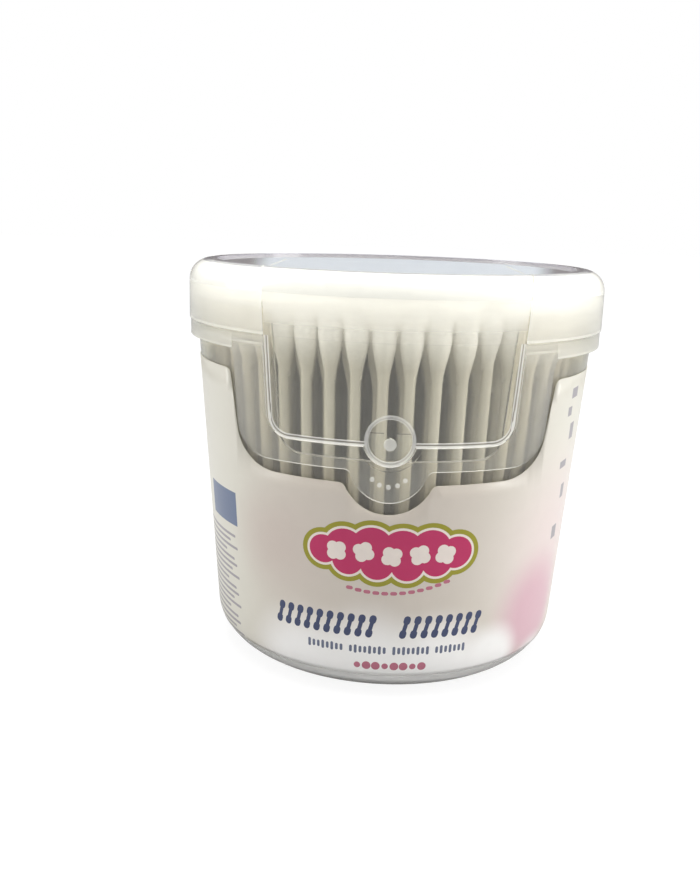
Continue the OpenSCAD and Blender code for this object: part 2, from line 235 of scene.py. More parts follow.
# Fine uneven grain, used by every material with its own colour, scale and stretch.
grain = bpy.data.node_groups.new("grain", "ShaderNodeTree")
grain_takes = {"Colour": "Color", "Spread": "Float", "Scale": "Float", "Stretch": "Vector",
               "Roughness": "Float", "Rough Spread": "Float"}
grain_gives = {"Colour": "Color", "Roughness": "Float", "Height": "Float"}
for way, sockets in (("INPUT", grain_takes), ("OUTPUT", grain_gives)):
    for name, kind in sockets.items():
        grain.interface.new_socket(name=name, in_out=way, socket_type="NodeSocket" + kind)
nodes, links = grain.nodes, grain.links
given = nodes.new("NodeGroupInput")
result = nodes.new("NodeGroupOutput")
place = nodes.new("ShaderNodeTexCoord")
stretched = nodes.new("ShaderNodeVectorMath")
stretched.operation = "MULTIPLY"
cloud = nodes.new("ShaderNodeTexNoise")
cloud.inputs["Detail"].default_value = 4
cloud.inputs["Distortion"].default_value = 0.6
centred = nodes.new("ShaderNodeMath")
centred.operation = "SUBTRACT"
centred.inputs[1].default_value = 0.5
lighter = nodes.new("ShaderNodeMath")
lighter.operation = "MULTIPLY_ADD"
lighter.inputs[2].default_value = 1
shaded = nodes.new("ShaderNodeVectorMath")
shaded.operation = "SCALE"
rougher = nodes.new("ShaderNodeMath")
rougher.operation = "MULTIPLY_ADD"
links.new(place.outputs["Object"], stretched.inputs[0])
links.new(given.outputs["Stretch"], stretched.inputs[1])
links.new(stretched.outputs[0], cloud.inputs["Vector"])
links.new(given.outputs["Scale"], cloud.inputs["Scale"])
links.new(cloud.outputs["Fac"], centred.inputs[0])
links.new(centred.outputs[0], lighter.inputs[0])
links.new(given.outputs["Spread"], lighter.inputs[1])
links.new(given.outputs["Colour"], shaded.inputs[0])
links.new(lighter.outputs[0], shaded.inputs["Scale"])
links.new(centred.outputs[0], rougher.inputs[0])
links.new(given.outputs["Rough Spread"], rougher.inputs[1])
links.new(given.outputs["Roughness"], rougher.inputs[2])
links.new(shaded.outputs[0], result.inputs["Colour"])
links.new(rougher.outputs[0], result.inputs["Roughness"])
links.new(cloud.outputs["Fac"], result.inputs["Height"])


def grained(name, colour, roughness, scale, stretch=(1, 1, 1), spread=0.1, rough_spread=0.1, bump=0.1,
            depth=0.05):
    """A material whose colour, roughness and small relief come from the grain group; depth is in mm."""
    made = bpy.data.materials.new(name)
    made.use_nodes = True
    nodes, links = made.node_tree.nodes, made.node_tree.links
    shader = nodes["Principled BSDF"]
    uneven = nodes.new("ShaderNodeGroup")
    uneven.name = "grain"
    uneven.node_tree = grain
    uneven.inputs["Colour"].default_value = (*colour, 1)
    uneven.inputs["Spread"].default_value = spread
    uneven.inputs["Scale"].default_value = scale
    uneven.inputs["Stretch"].default_value = stretch
    uneven.inputs["Roughness"].default_value = roughness
    uneven.inputs["Rough Spread"].default_value = rough_spread
    relief = nodes.new("ShaderNodeBump")
    relief.inputs["Strength"].default_value = bump
    relief.inputs["Distance"].default_value = depth * MM
    links.new(uneven.outputs["Colour"], shader.inputs["Base Color"])
    links.new(uneven.outputs["Roughness"], shader.inputs["Roughness"])
    links.new(uneven.outputs["Height"], relief.inputs["Height"])
    links.new(relief.outputs[0], shader.inputs["Normal"])
    return made, shader


def moulded(name, colour, clear, shade, roughness=0.09, aslant=None):
    """Clear to milky plastic. Light on its way to what lies behind passes straight through, dimmed by shade.
    Looked at aslant, a clear wall is thicker and has the colour aslant."""
    made, shader = grained(name, colour, roughness, 260, spread=0.08, rough_spread=0.05, bump=0.02,
                           depth=0.3)
    shader.inputs["IOR"].default_value = plastic_ior
    shader.inputs["Transmission Weight"].default_value = clear
    nodes, links = made.node_tree.nodes, made.node_tree.links
    if aslant:
        slant = nodes.new("ShaderNodeLayerWeight")
        slant.inputs["Blend"].default_value = 0.5
        deeper = nodes.new("ShaderNodeMapRange")
        deeper.interpolation_type = "SMOOTHSTEP"
        deeper.inputs["From Min"].default_value = aslant_from
        deeper.inputs["From Max"].default_value = aslant_full
        mixed = nodes.new("ShaderNodeMix")
        mixed.data_type = "RGBA"
        mixed.inputs["A"].default_value = (*colour, 1)
        mixed.inputs["B"].default_value = (*aslant, 1)
        links.new(slant.outputs["Facing"], deeper.inputs["Value"])
        links.new(deeper.outputs[0], mixed.inputs["Factor"])
        links.new(mixed.outputs["Result"], nodes["grain"].inputs["Colour"])
    passed = nodes.new("ShaderNodeBsdfTransparent")
    passed.inputs["Color"].default_value = (*(shade * part for part in shade_warmth), 1)
    path = nodes.new("ShaderNodeLightPath")
    either = nodes.new("ShaderNodeMath")
    either.operation = "MAXIMUM"
    pick = nodes.new("ShaderNodeMixShader")
    links.new(path.outputs["Is Shadow Ray"], either.inputs[0])
    links.new(path.outputs["Is Diffuse Ray"], either.inputs[1])
    links.new(either.outputs[0], pick.inputs["Fac"])
    links.new(shader.outputs[0], pick.inputs[1])
    links.new(passed.outputs[0], pick.inputs[2])
    links.new(pick.outputs[0], nodes["Material Output"].inputs["Surface"])
    return made


def reach_of(mesh, face):
    """Least and greatest distance from the tub's axis, then least and greatest height, in mm."""
    corners = [mesh.vertices[i].co / MM for i in face.vertices]
    out = [math.hypot(c.x, c.y) for c in corners]
    high = [c.z for c in corners]
    return min(out), max(out), min(high), max(high)


# The cut edges of the rim and of the notch catch the light, and the heel is thick, so they are milkier than
# the wall. Where the eye meets the wall aslant it looks through more plastic, which is darker and yellower.
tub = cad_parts["tub"]
tub.data.materials.clear()
tub.data.materials.append(moulded("tub_plastic", tub_colour, tub_clear, tub_shade, aslant=tub_aslant))
tub.data.materials.append(moulded("tub_edge", tub_colour, edge_clear, tub_shade))
tub.data.materials.append(moulded("tub_heel", heel_colour, heel_clear, tub_shade, 0.2))
for face in tub.data.polygons:
    near, far, low, high = reach_of(tub.data, face)
    outward = Vector((face.center.x, face.center.y, 0)).normalized()
    is_cut = low > cut_above and abs(face.normal.dot(outward)) < cut_facing
    face.material_index = 1 if is_cut else 2 if high < heel_high else 0

# The sticks are tightly rolled paper, smooth, and stand in rings in the tub. Their paper colour is darkened
# and warmed with painted shade, for the dim light among them inside the tub. They are CAD nodes as
# they stand, one stick in every solid. The buds' fibres thin out along them.
stick_shaded_colour = (0.57, 0.54, 0.445)
cotton_colour = (0.90, 0.885, 0.825)
swab_middle = 44.5
bare_to = 23.0
wound_from = 31.0


def thins_out(made):
    """Fades the cotton's colour into the stick's, which carries painted shade, along a swab, by the height
    above or below its middle.
    """
    nodes, links = made.node_tree.nodes, made.node_tree.links
    place = nodes.new("ShaderNodeTexCoord")
    axes = nodes.new("ShaderNodeSeparateXYZ")
    from_middle = nodes.new("ShaderNodeMath")
    from_middle.operation = "SUBTRACT"
    from_middle.inputs[1].default_value = swab_middle * MM
    away = nodes.new("ShaderNodeMath")
    away.operation = "ABSOLUTE"
    share = nodes.new("ShaderNodeMapRange")
    share.interpolation_type = "SMOOTHSTEP"
    share.inputs["From Min"].default_value = bare_to * MM
    share.inputs["From Max"].default_value = wound_from * MM
    mixed = nodes.new("ShaderNodeMix")
    mixed.data_type = "RGBA"
    mixed.inputs["A"].default_value = (*stick_shaded_colour, 1)
    mixed.inputs["B"].default_value = (*cotton_colour, 1)
    links.new(place.outputs["Object"], axes.inputs[0])
    links.new(axes.outputs["Z"], from_middle.inputs[0])
    links.new(from_middle.outputs[0], away.inputs[0])
    links.new(away.outputs[0], share.inputs["Value"])
    links.new(share.outputs[0], mixed.inputs["Factor"])
    links.new(mixed.outputs["Result"], nodes["grain"].inputs["Colour"])


rolled_paper_shaded, shader = grained("rolled_paper_shaded", stick_shaded_colour, 0.55, 1800, (1, 1, 0.12), spread=0.25,
                               bump=0.25)
thins_out(rolled_paper_shaded)
stick_names = [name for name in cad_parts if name.startswith("swab_sticks")]
for name in stick_names:
    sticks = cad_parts[name]
    sticks.data.materials.clear()
    sticks.data.materials.append(rolled_paper_shaded)

# Every stick carries two buds of cotton wool, wound on wet and dried: round at the tip, drawn in to a soft
# neck where the fibres run out on the paper. One mesh a ring, each bud turned on its own stick's axis.
bud_length = 16.0 * MM
bud_full = 7.5 * MM
bud_radius = {"top": 2.42 * MM, "low": 2.27 * MM}
tip_cover = 2.4 * MM
neck_radius = 1.16 * MM
bud_rings = 18
bud_sides = 24
lump_height = 0.10 * MM
tip_crowding = 1.35
size_least = 0.965
size_most = 0.995

cotton, shader = grained("cotton", cotton_colour, 0.92, 1300, (1, 1, 2.2), spread=0.2, bump=0.6, depth=0.12)
shader.inputs["Sheen Weight"].default_value = 0.2
shader.inputs["Sheen Roughness"].default_value = 0.6
thins_out(cotton)


def stick_ends(sticks):
    """The lower and the upper end of each stick in a CAD node."""
    found = []
    work = bmesh.new()
    work.from_mesh(sticks.data)
    bmesh.ops.remove_doubles(work, verts=work.verts, dist=1e-6)
    left = set(work.verts)
    while left:
        start = left.pop()
        island, edge = [start], [start]
        while edge:
            vert = edge.pop()
            for link in vert.link_edges:
                near = link.other_vert(vert)
                if near in left:
                    left.remove(near)
                    island.append(near)
                    edge.append(near)
        island.sort(key=lambda v: v.co.z)
        third = len(island) // 3
        low = sum((v.co for v in island[:third]), Vector()) / third
        high = sum((v.co for v in island[-third:]), Vector()) / third
        found.append((low, high))
    work.free()
    return sorted(found, key=lambda ends: math.atan2(ends[0].x, -ends[0].y))


def bud_profile(t, radius):
    """Radius of a bud at the share t of its length from the tip: round end, full body, easing neck."""
    z = t * bud_length
    if z < radius:
        return math.sqrt(max(0, radius ** 2 - (radius - z) ** 2))
    s = max(0, (z - bud_full) / (bud_length - bud_full))
    return neck_radius + (radius - neck_radius) * (0.5 + 0.5 * math.cos(math.pi * s))


def wind_bud(work, tip, along, radius, chance):
    """Adds one bud to the mesh: along points from its tip to the stick."""
    turn = Vector((0, 0, 1)).rotation_difference(along).to_matrix()
    phase = [chance.uniform(0, 2 * math.pi) for _ in range(4)]
    size = radius * chance.uniform(size_least, size_most)
    rows = []
    for i in range(1, bud_rings + 1):
        t = (i / bud_rings) ** tip_crowding
        row = []
        for j in range(bud_sides):
            a = 2 * math.pi * j / bud_sides
            lump = 0.5 * math.sin(2 * a + phase[0] + 5 * t) + 0.5 * math.sin(3 * a + phase[1] - 9 * t)
            r = bud_profile(t, size) - lump_height * (0.5 + 0.5 * lump) * min(1, 4 * t) * (1 - 0.6 * t)
            out_from_tip = Vector((r * math.cos(a), r * math.sin(a), t * bud_length))
            row.append(work.verts.new(tip + turn @ out_from_tip))
        rows.append(row)
    first = work.verts.new(tip)
    for j in range(bud_sides):
        work.faces.new((first, rows[0][(j + 1) % bud_sides], rows[0][j]))
        for low, high in zip(rows, rows[1:]):
            work.faces.new((low[j], low[(j + 1) % bud_sides], high[(j + 1) % bud_sides], high[j]))
    inside = work.verts.new(tip + turn @ Vector((0, 0, bud_length)))
    for j in range(bud_sides):
        work.faces.new((inside, rows[-1][j], rows[-1][(j + 1) % bud_sides]))


for name in stick_names:
    chance = random.Random(name)
    work = bmesh.new()
    for low, high in stick_ends(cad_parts[name]):
        along = (high - low).normalized()
        wind_bud(work, low - along * tip_cover, along, bud_radius["low"], chance)
        wind_bud(work, high + along * tip_cover, -along, bud_radius["top"], chance)
    mesh = bpy.data.meshes.new(name.replace("swab_sticks", "wound_buds"))
    work.to_mesh(mesh)
    work.free()
    mesh.materials.append(cotton)
    mesh.shade_smooth()
    buds = bpy.data.objects.new(mesh.name, mesh)
    bpy.context.scene.collection.objects.link(buds)
    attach(buds, "tub_body")
    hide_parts(name.replace("swab_sticks", "cotton_buds"))

# The label is one sheet of printed film wrapped round the wall and glued, cut away in front of the flap. Its
# print is a cloud badge, rows of small plain marks and a soft cotton-coloured ground. It replaces the CAD
# film.
wall_base = 38.8
wall_slope = math.tan(math.radians(4.16))
heel_round = 9.4
heel_centre = wall_base + heel_round * wall_slope - heel_round / math.cos(math.atan(wall_slope))
film_out = 0.14
film_thick = 0.12
label_low = 5.4
rim_height = 79.5
label_high = rim_height - 13.2
seam_half = 0.15
cut_width = 30.3
cut_low = rim_height - 32.7
cut_lean = math.radians(7)
cut_round = 8.5
cut_lobe_r = 9.3
cut_lobe_z = rim_height - 29.5
cut_fillet = 1.5


def film_radius(z, out=film_out):
    """Radius of the film's face at height z, in mm: the tapered wall, and the heel's round below it."""
    slope = math.atan(wall_slope)
    if z >= heel_round - (heel_round + out) * math.sin(slope):
        return wall_base + z * wall_slope + out / math.cos(slope)
    return heel_centre + math.sqrt((heel_round + out) ** 2 - (heel_round - z) ** 2)


def arc(cx, cz, r, start, end, steps):
    return [(cx + r * math.cos(math.radians(start + (end - start) * i / steps)),
             cz + r * math.sin(math.radians(start + (end - start) * i / steps))) for i in range(steps + 1)]


# Half of the cut-out's outline in the front view, from the lobe's bottom to the label's upper edge.
lean = math.degrees(cut_lean)
fillet_z = cut_low - cut_fillet
fillet_x = math.sqrt((cut_lobe_r + cut_fillet) ** 2 - (cut_lobe_z - fillet_z) ** 2)
lobe_end = math.degrees(math.atan2(fillet_z - cut_lobe_z, fillet_x))
corner_z = cut_low + cut_round
corner_x = cut_width + cut_round * math.tan(cut_lean) - cut_round / math.cos(cut_lean)
half_cut = arc(0, cut_lobe_z, cut_lobe_r, -90, lobe_end, 14)
half_cut += arc(fillet_x, fillet_z, cut_fillet, 180 + lobe_end, 90, 6)[1:]
half_cut += arc(corner_x, corner_z, cut_round, -90, -lean, 14)
top_x = cut_width + (label_high - cut_low) * math.tan(cut_lean)
foot_x, foot_z = half_cut[-1]
for i in range(1, 7):
    half_cut.append((foot_x + (top_x - foot_x) * i / 6, foot_z + (label_high - cut_fillet - foot_z) * i / 6))
half_cut += arc(top_x + cut_fillet, label_high - cut_fillet, cut_fillet, 180, 90, 8)[1:]

# The sheet is laid out flat first: across is the angle round the tub in radians, up is the height.
seam_angle = math.pi - seam_half / film_radius(30)
edge = [(math.asin(x / film_radius(z)), z) for x, z in half_cut]
outline = [(-seam_angle, label_low), (seam_angle, label_low), (seam_angle, label_high)]
outline += edge[::-1] + [(-a, z) for a, z in edge[1:]] + [(-seam_angle, label_high)]

# Flat shapes of the print. Each is a list of points in mm, laid on the sheet about a place on the tub.
print_radius = 41.3
inks = ["ground", "lime", "cream", "magenta", "navy", "blue", "red", "slate", "grey"]
printed = []


def put(ink, shape, angle, z, tilt=0.0):
    """Keeps a shape for the print: its ink, and its points on the flat sheet."""
    c, s = math.cos(math.radians(tilt)), math.sin(math.radians(tilt))
    middle = math.radians(angle)
    printed.append((ink, [(middle + (c * x - s * y) / print_radius, z + s * x + c * y) for x, y in shape]))


def disc(r, x=0.0, y=0.0, steps=28):
    return [(x + r * math.cos(2 * math.pi * i / steps), y + r * math.sin(2 * math.pi * i / steps))
            for i in range(steps)]


def bar(length, thick, steps=6):
    """A bar with round ends, lying level."""
    r = thick / 2
    h = length / 2 - r
    return arc(h, 0, r, -90, 90, steps) + arc(-h, 0, r, 90, 270, steps)


def block(wide, high):
    return [(-wide / 2, -high / 2), (wide / 2, -high / 2), (wide / 2, high / 2), (-wide / 2, high / 2)]


# The badge: a magenta cloud with a cream and a lime line round it, and a row of cream cotton bolls.
badge_angle = 1.5
badge_z = 32.2
puffs = ((-13.6, 0.3, 3.0), (-9.3, 1.2, 3.9), (-3.8, 1.6, 4.2), (2.2, 1.2, 4.2), (7.9, 1.4, 4.1),
         (13.2, 0.5, 3.4), (-8.6, -1.4, 3.2), (-2.7, -1.9, 3.4), (3.4, -2.0, 3.4), (9.3, -1.3, 3.2))
for ink, grown in (("lime", 1.5), ("cream", 0.5), ("magenta", 0)):
    for x, y, r in puffs:
        put(ink, disc(r + grown, x, y, 40), badge_angle, badge_z)
for x, y, turn in ((-10.9, 0.3, 0), (-5.4, 0.5, 20), (0.2, -0.2, -10), (5.8, 0.2, 15), (11.0, 0.2, -15)):
    for k in range(4):
        a = math.radians(45 + 90 * k + turn)
        put("cream", disc(1.2, x + 1.05 * math.cos(a), y + 1.05 * math.sin(a), 20), badge_angle, badge_z)

# Rows of small marks where such a label has its lines of print: dashes, swabs, ticks and dots.
for i in range(12):
    put("red", bar(1.45, 0.8), 4 + 2.5 * (i - 5.5), 24.0 + 0.05 * (i - 4) ** 2, 1.2 * (i - 4))
swab_tilt = 76
swab_row = 16.6
swab_step = 3.15
swab_reach = 1.6
along = (math.cos(math.radians(swab_tilt)), math.sin(math.radians(swab_tilt)))
for group, count in ((-17.5, 10), (17.5, 8)):
    for i in range(count):
        a = group + swab_step * (i - (count - 1) / 2)
        put("navy", bar(4.0, 0.85), a, swab_row, swab_tilt)
        for end in (-swab_reach, swab_reach):
            end_angle = a + math.degrees(end * along[0] / print_radius)
            put("navy", bar(2.0, 1.45), end_angle, swab_row + end * along[1], swab_tilt)
for i in range(34):
    if i % 9 != 8:
        put("blue", bar((1.9, 1.5, 1.5, 1.9, 1.5)[i % 5], 0.62), 1.5 + 1.42 * (i - 16.5), 11.3, 90)
for i in range(8):
    put("red", disc(0.95 if i % 3 else 0.7, 0, 0, 18), 2.5 + 2.75 * (i - 3.5), 7.7)
put("slate", block(13.2, 7.6), -59, 35.6)
side_lines = ((17.5, 0.3), (15.0, -1.2), (18.5, 0.6), (12.0, -2.4), (16.0, 0))
for i in range(18):
    length, shift = side_lines[i % 5]
    put("grey", bar(length, 0.62), -64 + shift, 29.2 - 1.36 * i)
side_blocks = ((62, 62.5, 3.2, 2.2), (60, 58.6, 2.0, 2.0), (64, 54.0, 2.4, 3.6), (61, 47.0, 3.4, 1.6),
               (64, 40.6, 2.0, 3.2), (62, 31.5, 2.6, 3.0))
for a, z, wide, high in side_blocks:
    put("grey", block(wide, high), a, z, 4)

# The flat sheet is cut along the outline and the print, and along upright and level lines that let it bend.
half_strips = 60
bend_heights = (6.3, 7.3, 8.4, 10, 16, 24, 34, 44, 54, 61)
points, faces, lines = [], [], []
for shape in [outline] + [shape for ink, shape in printed]:
    faces.append(list(range(len(points), len(points) + len(shape))))
    points += [Vector(p) for p in shape]
for i in range(1 - half_strips, half_strips):
    lines.append((len(points), len(points) + 1))
    a = i * seam_angle / half_strips
    points += [Vector((a, label_low)), Vector((a, label_high))]
for z in bend_heights:
    lines.append((len(points), len(points) + 1))
    points += [Vector((-seam_angle, z)), Vector((seam_angle, z))]
flat, _, cells, _, _, sources = geometry.delaunay_2d_cdt(points, lines, faces, 1, 1e-7, True)
ink_of_face = {0: 0}
for i, (ink, shape) in enumerate(printed, start=1):
    ink_of_face[i] = inks.index(ink)
work = bmesh.new()
sheet = []
for p in flat:
    a, z = p
    r = film_radius(z)
    sheet.append(work.verts.new(Vector((r * math.sin(a), -r * math.cos(a), z)) * MM))
for cell, source in zip(cells, sources):
    if 0 not in source:
        continue
    face = work.faces.new([sheet[i] for i in cell])
    face.material_index = ink_of_face[max(source)]
    face.smooth = True
loose = [v for v in work.verts if not v.link_faces]
bmesh.ops.delete(work, geom=loose, context="VERTS")
bmesh.ops.recalc_face_normals(work, faces=work.faces)
label_mesh = bpy.data.meshes.new("printed_film")
work.to_mesh(label_mesh)
work.free()
label = bpy.data.objects.new("printed_film", label_mesh)
bpy.context.scene.collection.objects.link(label)

film = label.modifiers.new("film", "SOLIDIFY")
film.thickness = film_thick * MM
film.offset = -1
film.use_rim = True
film.material_offset = len(inks)
film.material_offset_rim = len(inks)

# The ground fades from beige in the middle to cream at the sides: painted light, the sides lighter where the
# satin film mirrors the bright room and the middle darker. Soft pale cotton lies low down, with a pink glow
# at the right, and the pale pink there is partly print, partly painted light on the brighter right side.
# Every spot is its angle round the tub, its height and radius in mm, how soft its edge is, and its colour.
beige = (0.585, 0.53, 0.465)
side_cream_lit = (0.66, 0.64, 0.56)
side_beige = (0.56, 0.49, 0.435)
pale_pink_lit = (0.70, 0.60, 0.57)
glow_pink = (0.62, 0.40, 0.45)
cotton_white = (0.86, 0.85, 0.83)
spots = ((62, 30, 16, 26, pale_pink_lit), (54, 15, 11, 12, glow_pink), (-24, 5, 11, 12, cotton_white),
         (-4, 8, 10, 12, cotton_white), (16, 6, 11, 10, cotton_white), (35, 7, 7, 6, cotton_white),
         (-32, 32, 9, 16, side_beige), (57, 0, 7, 6, cotton_white))
side_light_from = 12
side_light_full = 42
film_rough = 0.34
coat_weight = 0.25
coat_rough = 0.25


def satin_film(name, colour, scale, spread):
    """Printed film under a thin satin varnish."""
    made, shader = grained(name, colour, film_rough, scale, spread=spread, bump=0.03)
    shader.inputs["Coat Weight"].default_value = coat_weight
    shader.inputs["Coat Roughness"].default_value = coat_rough
    return made


ground_film = satin_film("film_ground", beige, 320, 0.05)
nodes, links = ground_film.node_tree.nodes, ground_film.node_tree.links
place = nodes.new("ShaderNodeTexCoord")
axes = nodes.new("ShaderNodeSeparateXYZ")
back = nodes.new("ShaderNodeMath")
back.operation = "MULTIPLY"
back.inputs[1].default_value = -1
angle = nodes.new("ShaderNodeMath")
angle.operation = "ARCTAN2"
around = nodes.new("ShaderNodeMath")
around.operation = "MULTIPLY"
around.inputs[1].default_value = print_radius
rise = nodes.new("ShaderNodeMath")
rise.operation = "DIVIDE"
rise.inputs[1].default_value = MM
unrolled = nodes.new("ShaderNodeCombineXYZ")
aside = nodes.new("ShaderNodeMath")
aside.operation = "ABSOLUTE"
fade = nodes.new("ShaderNodeMapRange")
fade.interpolation_type = "SMOOTHSTEP"
fade.inputs["From Min"].default_value = side_light_from
fade.inputs["From Max"].default_value = side_light_full
links.new(place.outputs["Object"], axes.inputs[0])
links.new(axes.outputs["Y"], back.inputs[0])
links.new(axes.outputs["X"], angle.inputs[0])
links.new(back.outputs[0], angle.inputs[1])
links.new(angle.outputs[0], around.inputs[0])
links.new(axes.outputs["Z"], rise.inputs[0])
links.new(around.outputs[0], unrolled.inputs["X"])
links.new(rise.outputs[0], unrolled.inputs["Y"])
links.new(around.outputs[0], aside.inputs[0])
links.new(aside.outputs[0], fade.inputs["Value"])
# Painted light: the ground turns to a lighter cream towards the sides.
mixed = nodes.new("ShaderNodeMix")
mixed.data_type = "RGBA"
mixed.inputs["A"].default_value = (*beige, 1)
mixed.inputs["B"].default_value = (*side_cream_lit, 1)
links.new(fade.outputs[0], mixed.inputs["Factor"])
for at, z, wide, soft, colour in spots:
    away = nodes.new("ShaderNodeVectorMath")
    away.operation = "DISTANCE"
    away.inputs[1].default_value = (math.radians(at) * print_radius, z, 0)
    share = nodes.new("ShaderNodeMapRange")
    share.interpolation_type = "SMOOTHSTEP"
    share.inputs["From Min"].default_value = wide + soft / 2
    share.inputs["From Max"].default_value = wide - soft / 2
    more = nodes.new("ShaderNodeMix")
    more.data_type = "RGBA"
    more.inputs["B"].default_value = (*colour, 1)
    links.new(unrolled.outputs[0], away.inputs[0])
    links.new(away.outputs["Value"], share.inputs["Value"])
    links.new(share.outputs[0], more.inputs["Factor"])
    links.new(mixed.outputs["Result"], more.inputs["A"])
    mixed = more
links.new(mixed.outputs["Result"], nodes["grain"].inputs["Colour"])
label_mesh.materials.append(ground_film)

back_colour = (0.66, 0.65, 0.56)
ink_colours = {
    "lime": (0.28, 0.26, 0.006), "cream": (0.76, 0.68, 0.62), "magenta": (0.46, 0.008, 0.095),
    "navy": (0.032, 0.047, 0.12), "blue": (0.12, 0.14, 0.21), "red": (0.44, 0.13, 0.19),
    "slate": (0.11, 0.15, 0.25), "grey": (0.30, 0.28, 0.30)}
for ink in inks[1:]:
    label_mesh.materials.append(satin_film("film_" + ink, ink_colours[ink], 420, 0.12))
film_back, shader = grained("film_back", back_colour, 0.4, 420, spread=0.06, bump=0.03)
label_mesh.materials.append(film_back)
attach(label, "tub_body")
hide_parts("label")

# The cap is one clear moulding of polypropylene, pushed over the rim: a glossy top, a milky shoulder, a
# skirt, and a front apron with a thumb lobe. It is a CAD node as it stands. Its thicker places are milkier.
cap_colour = (0.99, 0.985, 0.95)
door_colour = (0.945, 0.94, 0.885)
top_colour = (0.84, 0.84, 0.82)
shoulder_colour = (0.985, 0.98, 0.905)
stud_colour = (0.96, 0.95, 0.88)
recess_shade_colour = (0.40, 0.39, 0.44)
cap_clear = 0.965
apron_colour = (0.915, 0.91, 0.865)
cap_aslant = (0.62, 0.62, 0.56)
top_aslant = (0.80, 0.81, 0.82)
skirt_aslant = (0.80, 0.80, 0.765)
cap_shade = 0.97
milky_shade = 0.99
lit_milk_colour = (1.0, 0.995, 0.95)
lit_milk_depth = 0.2
lit_milk_pass = 0.45
lit_milk_ior = 1.15
apron_half = 32.0
cap_side = 45.75
cap_inside = 44.85
step_high = 74.5
skirt_low = 71.0
shoulder_low = 82.6
skirt_from = 43.0
slack = 0.05
proud = 0.1
edge_facing = 0.3
skin_facing = 0.7
recess_floor = 86.6
recess_round = 40.0
tab_height = 56.4
tab_round = 4.85
ring_wide = 0.75
flap_half = 23.4
flap_low = 55.3
flap_lean = math.radians(4)
flap_corner = 4.2
bead_wide = 0.8
lobe_high = 52.0
# Painted highlight and painted shade along the bead and the ring, in place of their crown's light.
crown_highlight = (1.0, 0.995, 0.95, 1)
crown_shade = {"cap_bead": (0.33, 0.31, 0.27, 1), "cap_ring": (0.72, 0.71, 0.66, 1)}


def ramp_of(nodes, levels):
    """A colour ramp through the given levels, each a position and a colour."""
    ramp = nodes.new("ShaderNodeValToRGB")
    stops = ramp.color_ramp.elements
    stops.remove(stops[1])
    stops[0].position, stops[0].color = levels[0]
    for at, colour in levels[1:]:
        stops.new(at).color = colour
    return ramp


def crowned(made):
    """Paints the bead's round crown into its colour: two bright lines as painted highlights, with a darker
    one between them as painted shade.
    """
    nodes, links = made.node_tree.nodes, made.node_tree.links
    across = nodes.new("ShaderNodeAttribute")
    across.attribute_name = "crown"
    dim = crown_shade[made.name]
    outer = ((0.0, crown_highlight), (0.36, crown_highlight))
    ramp = ramp_of(nodes, (*outer, (0.46, dim), (0.72, dim), (0.82, crown_highlight)))
    links.new(across.outputs["Fac"], ramp.inputs["Fac"])
    links.new(ramp.outputs["Color"], nodes["grain"].inputs["Colour"])
    return made


cap_plastics = [
    moulded("cap_apron", apron_colour, cap_clear, cap_shade, aslant=cap_aslant),
    moulded("cap_shoulder", shoulder_colour, 0.2, milky_shade),
    moulded("cap_top", top_colour, 0.75, milky_shade, 0.03, top_aslant),
    crowned(moulded("cap_bead", cap_colour, 0.45, cap_shade)),
    moulded("cap_edge", cap_colour, 0.15, cap_shade),
    crowned(moulded("cap_ring", cap_colour, 0.55, cap_shade)),
    moulded("cap_stud", stud_colour, 0.45, cap_shade),
    # The recess wall is opaque dark grey: painted shade for the dark line round the recess.
    moulded("cap_wall", recess_shade_colour, 0.0, cap_shade),
    moulded("cap_skirt", cap_colour, cap_clear, milky_shade, aslant=skirt_aslant)]
CLEAR, SHOULDER, TOP, BEAD, EDGE, RING, STUD, WALL_SHADE, SKIRT = range(9)


def cap_zone(mesh, face):
    """Which plastic a face of the cap or the flap has."""
    near, far, low, high = reach_of(mesh, face)
    lower_edge = face.normal.z < -0.9 and abs(low - skirt_low) < slack and near > skirt_from
    if far > cap_side + proud and high < step_high + slack:
        from_tab = math.hypot(face.center.x / MM, face.center.z / MM - tab_height)
        if high < lobe_high or from_tab < tab_round / 2:
            return STUD
        if near < cap_side + proud:
            return EDGE
        return RING if from_tab < tab_round else BEAD
    outward = Vector((face.center.x, face.center.y, 0)).normalized()
    spans_wall = near > cap_inside - proud and far > cap_inside + 4 * proud
    is_cut = spans_wall and abs(face.normal.dot(outward)) < edge_facing
    if lower_edge or (is_cut and high < shoulder_low):
        return EDGE
    # The recess wall gets the painted shade.
    if low > recess_floor - slack and abs(face.normal.z) < 0.5 and far < recess_round + 0.6:
        return WALL_SHADE
    if low > recess_floor - slack and (face.normal.z > 0.95 or far < recess_round + slack):
        return TOP
    if low > shoulder_low - 0.02 and face.normal.z > 0.02:
        return SHOULDER
    return SKIRT if low > step_high - slack else CLEAR


def mark_crown(mesh):
    """Keeps how far across the bead or the ring each corner of theirs lies: 0 outside, 1 inside."""
    crown = mesh.attributes.new("crown", "FLOAT", "CORNER")
    corner_x = flap_half + flap_corner * math.tan(flap_lean) - flap_corner / math.cos(flap_lean)
    for face in mesh.polygons:
        if face.material_index not in (BEAD, RING):
            continue
        for i in face.loop_indices:
            c = mesh.vertices[mesh.loops[i].vertex_index].co / MM
            if face.material_index == RING:
                crown.data[i].value = (tab_round - math.hypot(c.x, c.z - tab_height)) / ring_wide
                continue
            x, z = abs(c.x) - corner_x, c.z - flap_low - flap_corner
            if x < 0:
                inside = flap_corner + z
            elif z < -x * math.tan(flap_lean):
                inside = flap_corner - math.hypot(x, z)
            else:
                inside = flap_corner - x * math.cos(flap_lean) + z * math.sin(flap_lean)
            crown.data[i].value = inside / bead_wide


